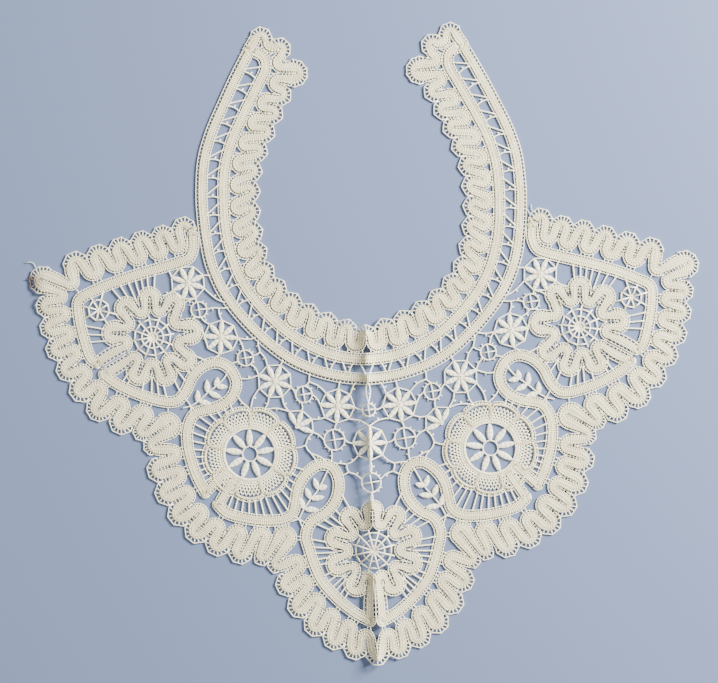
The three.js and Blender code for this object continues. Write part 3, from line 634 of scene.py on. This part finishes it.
def clear_of(line, covers):
    """The longest stretch of a line that keeps clear of the tapes it ends at."""
    line = evenly(line, FINE)
    gaps = np.linalg.norm(line[:, None] - covers[None], axis=2).min(axis=1)
    best, start = (0, 0), None
    for i, free in enumerate([*(gaps > TUCK), False]):
        if free and start is None:
            start = i
        if not free and start is not None:
            best = max(best, (i - start, start))
            start = None
    return line[best[1]:best[1] + best[0]]


def button(cloth, centre, radius, thread, height=MID, sides=10):
    """The worked middle of a web or a star."""
    cloth.tube(loop(centre, radius, sides)[:-1], thread, height=height, sides=6, closed=True)


def frays(cloth, own, table):
    """Cut and pulled thread ends that stick out past an edge."""
    for start, end, bow in table:
        start, end = own(start), own(end)
        middle = (start + end) / 2 - bow * to_left(end - start)
        cloth.tube(smooth([start, middle, end], pieces=5), FRAY)


# ---- the pieces ----
def both_sides(points):
    points = np.asarray(points, float)
    return np.vstack([flip(points[1:])[::-1], points])


def neck_edge_bends():
    tips = smooth(NECK_EDGE.tip_rail, pieces=NECK_EDGE.loops)
    feet = smooth(NECK_EDGE.foot_rail, pieces=2 * NECK_EDGE.loops)[1::2]
    pairs = [spot for pair in zip(feet, tips[1:]) for spot in pair]
    return both_sides([tips[0], *pairs, *NECK_EDGE.strap_end])


def outer_edge_bends():
    return both_sides([spot for pair in zip(OUTER_EDGE.tips, OUTER_EDGE.feet) for spot in pair])


def tape_line(name):
    """The middle line of an outline tape; the wing's turns its corner in a short bend."""
    points = OUTLINE_TAPES[name]
    if name != "wing":
        return smooth(points)
    first, second = smooth(points[:WING_CORNER + 1]), smooth(points[WING_CORNER:])
    corner, start, end = first[-1], first[-1 - CORNER_CUT], second[CORNER_CUT]
    share = np.linspace(0, 1, 2 * CORNER_CUT + 1)[:, None]
    bend = start * (1 - share)**2 + 2 * corner * share * (1 - share) + end * share**2
    return evenly(np.vstack([first[:-1 - CORNER_CUT], bend, second[CORNER_CUT + 1:]]))


def flower_bends(plan):
    centre, petals = plan["centre"], plan["petals"]
    feet = [polar(centre, FLOWER.heart, (a + b) / 2) for a, b in zip(petals, petals[1:])]
    (first, start), (last, end) = plan["stems"]
    feet.append(polar(centre, FLOWER.heart, last))
    bends = [np.array(start, float), polar(centre, FLOWER.heart, first)]
    for petal, foot in zip(petals, feet):
        bends += [polar(centre, FLOWER.petal, petal), foot]
    return np.vstack([*bends, [end]])


def flower(cloth, plan):
    """Petals of snaking tape round a web of spokes and straight threads. Gives the tape's middle line."""
    line = snake(cloth, flower_bends(plan), PETAL_TAPE, False)
    centre = plan["centre"]
    angles = plan["petals"][0] + WEB.turn + np.arange(WEB.spokes) * 360 / WEB.spokes
    tips = polar(centre, FLOWER.heart + WEB.overlap, angles)
    cloth.sticks(np.tile(centre, (WEB.spokes, 1)), tips, WEB.spoke)
    for ring in WEB.rings:
        corners = polar(centre, ring, angles)
        cloth.sticks(corners, np.roll(corners, -1, axis=0), WEB.ring)
    button(cloth, centre, *WEB.button)
    return line


def mirrored(plan):
    other = {"centre": flip(plan["centre"]), "rungs": [180 - angle for angle in plan["rungs"]]}
    if "petals" in plan:
        other["petals"] = [180 - petal for petal in plan["petals"]]
        other["stems"] = [(180 - angle, flip(end)) for angle, end in plan["stems"]]
    else:
        other["stems"] = [flip(stem) for stem in plan["stems"]]
    return other


def net(cloth, centre, low, pitch):
    """The net in one cell of a wheel: crossing threads from row to row, finer towards the rim."""
    deep = WHEEL.rim - WHEEL.eye - NET.hem - NET.clear
    radii = WHEEL.eye + NET.hem + deep * np.linspace(0, 1, NET.rows)**NET.spread
    columns = NET.holes + 0.5
    start, span = NET.span
    thick, thin = NET.thread
    for k in range(NET.rows - 1):
        share = (np.arange(NET.holes + 1) + (k % 2) / 2) / columns
        here = polar(centre, radii[k], low + pitch * (start + span * share))
        for step in (0.5, -0.5):
            target = share + step / columns
            kept = (target > -NET.slack) & (target < 1 + NET.slack)
            there = polar(centre, radii[k + 1], low + pitch * (start + span * target[kept]))
            cloth.sticks(here[kept], there, thick + (thin - thick) * k / NET.rows)


def cell_edges(cloth, centre, low, pitch):
    """The narrow hem inside a cell's net, and the scalloped rim with its pinholes outside it."""
    arc = np.linspace(low + RIM.margin, low + pitch - RIM.margin, RIM.rows)
    hem = [polar(centre, WHEEL.eye + depth, arc) for depth in (NET.hem + NET.lap, NET.lap)]
    cloth.band(*hem, section=THREAD_SECTION)
    bulge = RIM.bulge * np.sin(np.linspace(0, math.pi, len(arc)))**RIM.full
    edge, outside, inside = (polar(centre, WHEEL.rim - depth + bulge, arc) for depth in RIM.depths)
    cloth.band(outside, inside, section=THREAD_SECTION)
    border(cloth, edge, outside)


def net_wheel(cloth, plan):
    """A wheel of leaves with cells of net round it. Gives the middle lines that bars end at."""
    centre = plan["centre"]
    pitch = 360 / WHEEL.leaves
    for i in range(WHEEL.leaves):
        low = WHEEL.first + i * pitch
        ends = WHEEL.eye - NET.lap, WHEEL.rim - DIVIDER.short
        spine = np.array([polar(centre, radius, low) for radius in ends])
        side = sideways(spine) * DIVIDER.width / 2
        cloth.band(evenly(spine + side, DIVIDER.step), evenly(spine - side, DIVIDER.step))
        net(cloth, centre, low, pitch)
        cell_edges(cloth, centre, low, pitch)
        angle = WHEEL.turn + i * pitch
        root = polar(centre, WHEEL.hub - WHEEL.root, angle)
        leaf(cloth, root, polar(centre, WHEEL.eye + WHEEL.past, angle), WHEEL.leaf_width)
    braid(cloth, loop(centre, WHEEL.eye + WHEEL.ring), WHEEL.ring_bar, closed=True)
    braid(cloth, loop(centre, WHEEL.hub), closed=True)
    covers = [loop(centre, WHEEL.rim - NET.clear, 90)]
    for stem in plan["stems"]:
        line = evenly(stem)
        plain_tape(cloth, line, STEM_TAPE)
        covers.append(line)
    return np.vstack(covers)


def neck_band(cloth, outer_line, inner_line):
    """Two tapes with a zigzag of bars between them; every other bar bows up and has a small point."""
    plain_tape(cloth, outer_line, right=NECK_HOLES)
    plain_tape(cloth, inner_line, height=NECK_LADDER.over, ends=False)
    inner = smooth(NECK_TAPES["inner"][:-1], NECK_LADDER.step)
    rails = [smooth(NECK_TAPES["outer"], NECK_LADDER.step), inner]
    count = round(travelled(inner)[-1] / NECK_LADDER.pitch)
    covers = np.vstack(rails)
    for i in range(count):
        start, end = (rails[k % 2][round(k / count * (len(rails[k % 2]) - 1))] for k in (i, i + 1))
        middle = (start + end) / 2
        if i % 2:
            along = end - start
            middle = middle + NECK_LADDER.bow * to_left(along) / np.linalg.norm(along)
        line = clear_of(smooth([start, middle, end], FINE), covers)
        if len(line) < 3:
            continue
        for each, facing in ((line, 1), (flip(line), -1)):
            braid(cloth, each, NECK_LADDER.bar)
            if i % 2:
                spur(cloth, each, facing, SPUR.ladder)


def rungs(cloth, plan, tape, covers):
    """Short bars from a flower or wheel to where rays from its centre meet the outline tape."""
    centre = plan["centre"]
    for angle in plan["rungs"]:
        ray = polar((0, 0), 1.0, angle)
        along, across = (tape - centre) @ ray, (tape - centre) @ to_left(ray)
        ahead = (along[1:] > 0) & (along[1:] < RUNG.reach)
        crosses = np.nonzero((across[:-1] * across[1:] < 0) & ahead)[0]
        if not len(crosses):
            continue
        ends = [polar(centre, reach, angle) for reach in (RUNG.start, along[crosses].min())]
        line = clear_of(ends, covers)
        if len(line) > 2 and travelled(line)[-1] < RUNG.longest:
            braid(cloth, line, RUNG.bar)


def corner_web(cloth, mirror, covers):
    """A web whose spokes run on to the tape and the petals round it."""
    centre = flip(CORNER_WEB.centre) if mirror else np.array(CORNER_WEB.centre)
    longest, ring = CORNER_WEB.longest, CORNER_WEB.ring
    corners = []
    for i in range(CORNER_WEB.spokes):
        angle = CORNER_WEB.first + i * 360 / CORNER_WEB.spokes
        angle = 180 - angle if mirror else angle
        line = clear_of([centre, polar(centre, longest, angle)], covers)
        meets_nothing = travelled(line)[-1] > longest - CORNER_WEB.free
        end = polar(centre, ring + CORNER_WEB.past, angle) if meets_nothing else line[-1]
        cloth.sticks([centre], [end], CORNER_WEB.spoke)
        corners.append(polar(centre, ring, angle))
    cloth.sticks(corners, np.roll(corners, -1, axis=0), CORNER_WEB.thread)
    button(cloth, centre, *CORNER_WEB.button)


def sprig(cloth, plan, own):
    braid(cloth, smooth([own(spot) for spot in plan["stem"]]))
    for root, tip in plan["leaves"]:
        leaf(cloth, own(root), own(tip))
    foot = own(plan["stem"][-1])
    for end in plan["ties"]:
        braid(cloth, np.array([foot, own(end)]), FINE_BAR)


def star(cloth, centre, turn, hidden):
    """Leaves round a middle, each a little higher than the one before, with bars from tip to tip."""
    pitch = 360 / STAR.leaves
    kept = [i for i in range(STAR.leaves) if i not in hidden]
    for i in kept:
        angle = turn + i * pitch
        root, tip = polar(centre, STAR.root, angle), polar(centre, STAR.reach, angle)
        leaf(cloth, root, tip, STAR.leaf_width, STAR.over * i, STAR.swell)
    for i in kept:
        if (i + 1) % STAR.leaves in kept:
            ends = [polar(centre, STAR.reach, turn + (i + k) * pitch) for k in (0, 1)]
            braid(cloth, ends, FINE_BAR)
    button(cloth, centre, *STAR.button)


def crossed_ring(cloth, centre, radius):
    braid(cloth, loop(centre, radius), closed=True)
    quarters = np.array([0, 90, 180, 270])
    around = polar(centre, radius, quarters + RING.turn)
    cloth.sticks(around[:2], around[2:], RING.cross)
    for turn in RING.points:
        knots = polar(centre, radius, quarters + turn)
        cloth.sticks(knots, knots + (knots - centre) / radius * RING.point, RING.thread)


def star_ground(cloth, covers):
    """Stars, bars and crossed rings on both sides; those on the centre front are made once."""
    for centre, turn, hidden in STARS:
        star(cloth, centre, turn, hidden)
        if centre[0]:
            swapped = [(STAR.leaves - i) % STAR.leaves for i in hidden]
            star(cloth, flip(centre), 180 - turn, swapped)
    for number, bride in enumerate(BRIDES):
        names = bride.split()
        for step, (start, end) in enumerate(zip(names, names[1:])):
            ends = np.array([KNOTS[start], KNOTS[end]], float)
            bow = BRIDE.bow * (1 if (number + step) % 2 else -1) * to_left(ends[1] - ends[0])
            arch = smooth([ends[0], ends.mean(axis=0) + bow, ends[1]], BRIDE.step)
            line = clear_of(arch, covers)
            for side in (line, flip(line)):
                if len(side) > 2:
                    braid(cloth, side)
                    spur(cloth, side, 1 if number % 2 else -1)
    for centre, radius in RINGS:
        crossed_ring(cloth, centre, radius)
        if centre[0]:
            crossed_ring(cloth, flip(centre), radius)


# ---- finishes ----
# Thread work: colour, shade, roughness, sheen, waves for each mm along and across, their depth in metres.
# The shade is the darker tone that the blotches mix in; a darker copy of it is the painted shade in the
# gaps between threads.
FINISHES = {
    "worked_tape": ((0.89, 0.81, 0.53), (0.75, 0.66, 0.41), 0.85, 0.12, (0.95, 1.5), 0.0002),
    "thread": ((0.96, 0.9, 0.66), (0.88, 0.82, 0.58), 0.8, 0.12, (1.5, 0.16), 0.00008),
    "leaf_thread": ((0.97, 0.92, 0.7), (0.9, 0.84, 0.6), 0.55, 0.2, (0.4, 2.2), 0.00008),
}
GLOSS = 0.3  # specular level
RELIEF = 0.7  # strength of the waves' relief
BLOTCHES = Sizes(scale=110, detail=6, stops=(0.35, 0.62))  # noise that mixes colour and shade
# Painted shade in the gaps between threads: where on the waves it starts and is deepest, and how dark it
# gets.
PAINTED_GAP_SHADE = Sizes(start=0.2, deepest=-1.8, strength=0.85, dark=0.55)
STAIN = Sizes(at=(-0.1890, 0.0385, 0.0), reach=0.012, strength=2.4, colour=(0.11, 0.065, 0.045))


def plug(tree, target, inputs):
    """Gives each input of a node a constant, or a link from another node's output."""
    for name, value in inputs.items():
        if isinstance(value, bpy.types.NodeSocket):
            tree.links.new(value, target.inputs[name])
        else:
            target.inputs[name].default_value = value


def node(tree, kind, inputs, **settings):
    made = tree.nodes.new("ShaderNode" + kind)
    for name, value in settings.items():
        setattr(made, name, value)
    plug(tree, made, inputs)
    return made


def maths(tree, operation, *values):
    return node(tree, "Math", dict(enumerate(values)), operation=operation).outputs["Value"]


def ramp(tree, value, start, full, strength):
    """0 up to where value is start, growing to strength where it is full."""
    limits = {"Value": value, "From Min": start, "From Max": full, "To Max": strength}
    return node(tree, "MapRange", limits, clamp=True).outputs["Result"]


def mixed(tree, share, under, over):
    inputs = {"Factor": share, "A": under, "B": (*over, 1)}
    return node(tree, "Mix", inputs, data_type="RGBA").outputs["Result"]


def finish_of(name, colour, shade, roughness, sheen, waves, depth):
    """Colour that varies softly, relief between threads with painted shade in the gaps, and a stain at one
    wing tip.
    """
    material = bpy.data.materials.new(name)
    material.use_nodes = True
    tree = material.node_tree
    place = node(tree, "TexCoord", {}).outputs["Object"]
    noise = {"Vector": place, "Scale": BLOTCHES.scale, "Detail": BLOTCHES.detail}
    blotches = node(tree, "TexNoise", noise).outputs["Fac"]
    tones = node(tree, "ValToRGB", {"Fac": blotches})
    for stop, position, tone in zip(tones.color_ramp.elements, BLOTCHES.stops, (shade, colour)):
        stop.position = position
        stop.color = (*tone, 1)

    work = node(tree, "UVMap", {}, uv_map="work").outputs["UV"]
    split = node(tree, "SeparateXYZ", {"Vector": work})
    heights = []
    for axis, turns in zip("XY", waves):
        phase = maths(tree, "MULTIPLY", split.outputs[axis], turns * 2 * math.pi)
        heights.append(maths(tree, "SINE", phase))
    relief = maths(tree, "ADD", *heights)
    # Painted shade: the colour darkens in the low parts of the waves, the gaps between threads, where
    # shade would fall.
    gaps = ramp(tree, relief, PAINTED_GAP_SHADE.start, PAINTED_GAP_SHADE.deepest, PAINTED_GAP_SHADE.strength)
    tone_with_painted_gap_shade = mixed(tree, gaps, tones.outputs["Color"], [tone * PAINTED_GAP_SHADE.dark for tone in shade])

    away = node(tree, "VectorMath", {0: place, 1: STAIN.at}, operation="DISTANCE").outputs["Value"]
    stain = ramp(tree, away, STAIN.reach, 0.0, STAIN.strength)
    stained = mixed(tree, maths(tree, "MULTIPLY", stain, blotches), tone_with_painted_gap_shade, STAIN.colour)
    bump = node(tree, "Bump", {"Strength": RELIEF, "Distance": depth, "Height": relief})
    plug(tree, tree.nodes["Principled BSDF"], {
        "Base Color": stained, "Normal": bump.outputs["Normal"], "Roughness": roughness,
        "Sheen Weight": sheen, "Specular IOR Level": GLOSS,
    })
    return material


materials = [finish_of(name, *finish) for name, finish in FINISHES.items()]


def put(name, data):
    thing = bpy.data.objects.new(name, data)
    bpy.context.scene.collection.objects.link(thing)
    return thing


def bake(name, cloth):
    """Moves a finished piece into the frame and makes it stand for its node."""
    x, y, z = np.vstack(cloth.points).T
    placed = np.column_stack([x - SKEW * y - CENTRE[0], y - CENTRE[1], z + lift(x, y)]) / 1000
    faces = np.vstack(cloth.faces)
    mesh = bpy.data.meshes.new(name + "_lace")
    mesh.from_pydata(placed.tolist(), [], faces.tolist())
    layer = mesh.uv_layers.new(name="work")
    layer.data.foreach_set("uv", np.vstack(cloth.maps)[faces.ravel()].astype(np.float32).ravel())
    for material in materials:
        mesh.materials.append(material)
    mesh.polygons.foreach_set("material_index", np.concatenate(cloth.kinds).astype(np.int32))
    mesh.polygons.foreach_set("use_smooth", np.ones(len(faces), dtype=bool))
    mesh.update()
    piece = put(name + "_lace", mesh)
    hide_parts(name)
    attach(piece, "root")


# ---- making the pieces ----
made = {name: Cloth() for name in CUTS}
neck_lines = [smooth(both_sides(NECK_TAPES[name])) for name in ("outer", "inner")]
covers = {"neck": np.vstack(neck_lines)}
snake(made["neck_edging"], neck_edge_bends(), EDGING, True)
snake(made["outer_edging"], outer_edge_bends(), EDGING, True)
sew(made["neck_edging"], neck_edge_bends(), neck_lines[1])
frays(made["outer_edging"], flip, FRAYS_RIGHT)
frays(made["outer_edging"], np.array, FRAYS_LEFT)
neck_band(made["neck_band"], *neck_lines)
covers["flower_centre"] = flower(made["flower_centre"], FRONT_FLOWER)
for side in SIDES:
    mirror = side == "right"
    own = flip if mirror else np.array
    plans = WING_FLOWER, NET_WHEEL, FRONT_FLOWER
    wing, wheel, front = map(mirrored, plans) if mirror else plans
    covers["flower_" + side] = flower(made["flower_" + side], wing)
    covers["wheel_" + side] = net_wheel(made["net_wheel_" + side], wheel)
    lines = {name: own(tape_line(name)) for name in OUTLINE_TAPES}
    covers.update({name + side: line for name, line in lines.items()})
    for name, line in lines.items():
        plain_tape(made[f"tape_{name}_{side}"], line)
    every = np.vstack(list(covers.values()))
    rounds = ("wing", wing), ("side", wing), ("side", wheel), ("front", wheel), ("front", front)
    for name, plan in rounds:
        rungs(made[f"tape_{name}_{side}"], plan, lines[name], every)
    corner_web(made["tape_wing_" + side], mirror, every)
    for name, plan in SPRIGS.items():
        sprig(made[f"sprig_{name}_{side}"], plan, own)
star_ground(made["star_ground"], np.vstack(list(covers.values())))
outline = [line for name, line in covers.items() if name.startswith(tuple(OUTLINE_TAPES))]
sew(made["outer_edging"], outer_edge_bends(), np.vstack(outline))

for name, cloth in made.items():
    bake(name, cloth)


# ---- surroundings ----
FLOOR = Sizes(half=1.5, colour=(0.115, 0.15, 0.245), roughness=0.9)
VIEW = Sizes(target=(-0.0036, 0.0019), turn=-1.4, distance=1.1, width=0.402, sensor=36)
LAMPS = [
    {"name": "key", "at": (1.1, 0.55, 0.62), "size": 0.45, "power": 125},
    {"name": "fill", "at": (-0.7, -0.3, 1.2), "size": 1.2, "power": 12},
]
SKY = Sizes(colour=(0.9, 0.93, 1.0), strength=0.35)


def floor():
    half = FLOOR.half
    mesh = bpy.data.meshes.new("floor")
    corners = [(-half, -half, 0), (half, -half, 0), (half, half, 0), (-half, half, 0)]
    mesh.from_pydata(corners, [], [(0, 1, 2, 3)])
    material = bpy.data.materials.new("floor")
    material.use_nodes = True
    tree = material.node_tree
    finish = {"Base Color": (*FLOOR.colour, 1), "Roughness": FLOOR.roughness}
    plug(tree, tree.nodes["Principled BSDF"], finish)
    mesh.materials.append(material)
    put("floor", mesh)


def lamps():
    for lamp in LAMPS:
        light = bpy.data.lights.new(lamp["name"], "AREA")
        light.size = lamp["size"]
        light.energy = lamp["power"]
        stand = put(lamp["name"], light)
        stand.location = lamp["at"]
        stand.rotation_euler = (-Vector(lamp["at"])).to_track_quat("-Z", "Y").to_euler()
    world = bpy.data.worlds.new("studio")
    world.use_nodes = True
    tree = world.node_tree
    plug(tree, tree.nodes["Background"], {"Color": (*SKY.colour, 1), "Strength": SKY.strength})
    bpy.context.scene.world = world


def camera():
    """Straight down, turned a little, as wide as the view at the surface."""
    eye = bpy.data.cameras.new("view")
    eye.sensor_width = VIEW.sensor
    eye.lens = eye.sensor_width * VIEW.distance / VIEW.width
    eye.clip_start = 0.05
    stand = put("view", eye)
    stand.location = (*VIEW.target, VIEW.distance)
    stand.rotation_euler = (0, 0, math.radians(VIEW.turn))
    bpy.context.scene.camera = stand


floor()
lamps()
camera()
